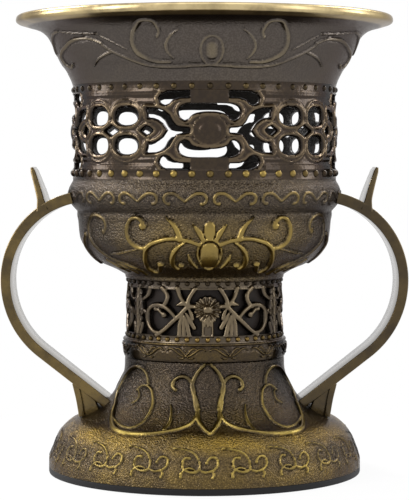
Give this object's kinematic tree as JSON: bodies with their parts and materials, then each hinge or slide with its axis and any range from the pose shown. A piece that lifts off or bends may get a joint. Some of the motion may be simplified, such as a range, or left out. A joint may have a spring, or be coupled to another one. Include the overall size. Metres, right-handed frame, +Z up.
{
  "type": "incense burner",
  "caption": "Footed charcoal incense burner with a flared mouth, a pierced gallery, a loose ember dish and two strap handles with thumb spurs.",
  "frame": {"origin": "middle of the base, on the surface that it stands on", "axes": "+Z up along the body's axis, -Y the front seen in the picture, the handles at +X and -X"},
  "size_m": [0.0966, 0.0912, 0.1093],
  "materials": {
    "base_ring": "black matt rubber ring",
    "foot": "antique bronze, stippled, rubbed to gold on the dome",
    "laurel_band": "antique bronze, satin",
    "inner_black": "matt black lacquer",
    "bronze": "antique bronze, dark ground with rubbed relief",
    "dish_steel": "spun steel, heat darkened",
    "fastener_steel": "zinc plated steel",
    "handle_bronze": "antique bronze, satin"
  },
  "bodies": {
    "body": {"base_ring": "base_ring", "foot": "foot", "laurel_band": "laurel_band", "neck_sleeve": "inner_black", "neck_collar": "bronze", "bowl": "bronze", "gallery_ring": "bronze", "rim_bell": "bronze", "tie_bolt": "fastener_steel", "tie_washer": "fastener_steel", "tie_nut": "fastener_steel", "handle_left": "handle_bronze", "handle_right": "handle_bronze", "handle_screw_left": "fastener_steel", "handle_screw_right": "fastener_steel"},
    "dish": {"ember_dish": "dish_steel"}
  },
  "joints": [
    {"name": "dish_lift", "type": "slide", "parent": "body", "child": "dish", "axis": [0, 0, 1], "range_m": [0, 0.06]}
  ]
}
